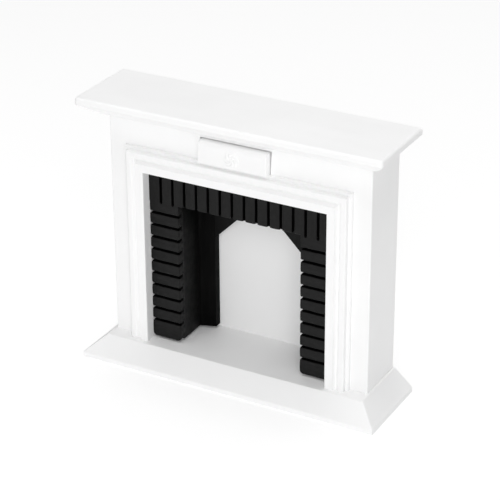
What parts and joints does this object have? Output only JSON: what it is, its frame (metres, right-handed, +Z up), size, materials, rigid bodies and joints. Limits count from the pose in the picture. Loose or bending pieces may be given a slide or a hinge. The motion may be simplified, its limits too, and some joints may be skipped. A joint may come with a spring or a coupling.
{
  "type": "miniature fireplace mantel",
  "caption": "White painted dolls' house fireplace: bevelled base, stepped architrave, frieze with a small tablet, flared moulding under a thin shelf, black brick firebox.",
  "frame": {"origin": "on the floor, under the middle of the whole object", "axes": "+Z up, -Y towards the front (the open firebox), +Y towards the wall, +X along the shelf to the object's right as seen from the front"},
  "size_m": [0.1106, 0.0314, 0.0955],
  "materials": {
    "white_paint": "smooth satin white paint on wood",
    "black_brick": "matte black with fine moulded grain",
    "bare_wood": "bare sanded softwood, hidden inside"
  },
  "bodies": {
    "root": {"architrave_left": "white_paint", "architrave_right": "white_paint", "architrave_top": "white_paint", "back_panel": "white_paint", "base_board": "white_paint", "bed_moulding_front": "white_paint", "bed_moulding_left": "white_paint", "bed_moulding_right": "white_paint", "brick_jamb_left": "black_brick", "brick_jamb_right": "black_brick", "brick_lintel": "black_brick", "corner_block_left": "bare_wood", "corner_block_right": "bare_wood", "firebox_cheek_left": "black_brick", "firebox_cheek_right": "black_brick", "firebox_roof": "black_brick", "frieze_board": "white_paint", "frieze_tablet": "white_paint", "front_stile_left": "white_paint", "front_stile_right": "white_paint", "mantel_shelf": "white_paint", "rear_corner_left": "black_brick", "rear_corner_right": "black_brick", "rear_head": "black_brick", "rear_upright_left": "black_brick", "rear_upright_right": "black_brick", "shelf_cleat": "bare_wood", "side_panel_left": "white_paint", "side_panel_right": "white_paint", "tablet_ornament": "white_paint", "tablet_pad": "bare_wood"}
  },
  "joints": []
}
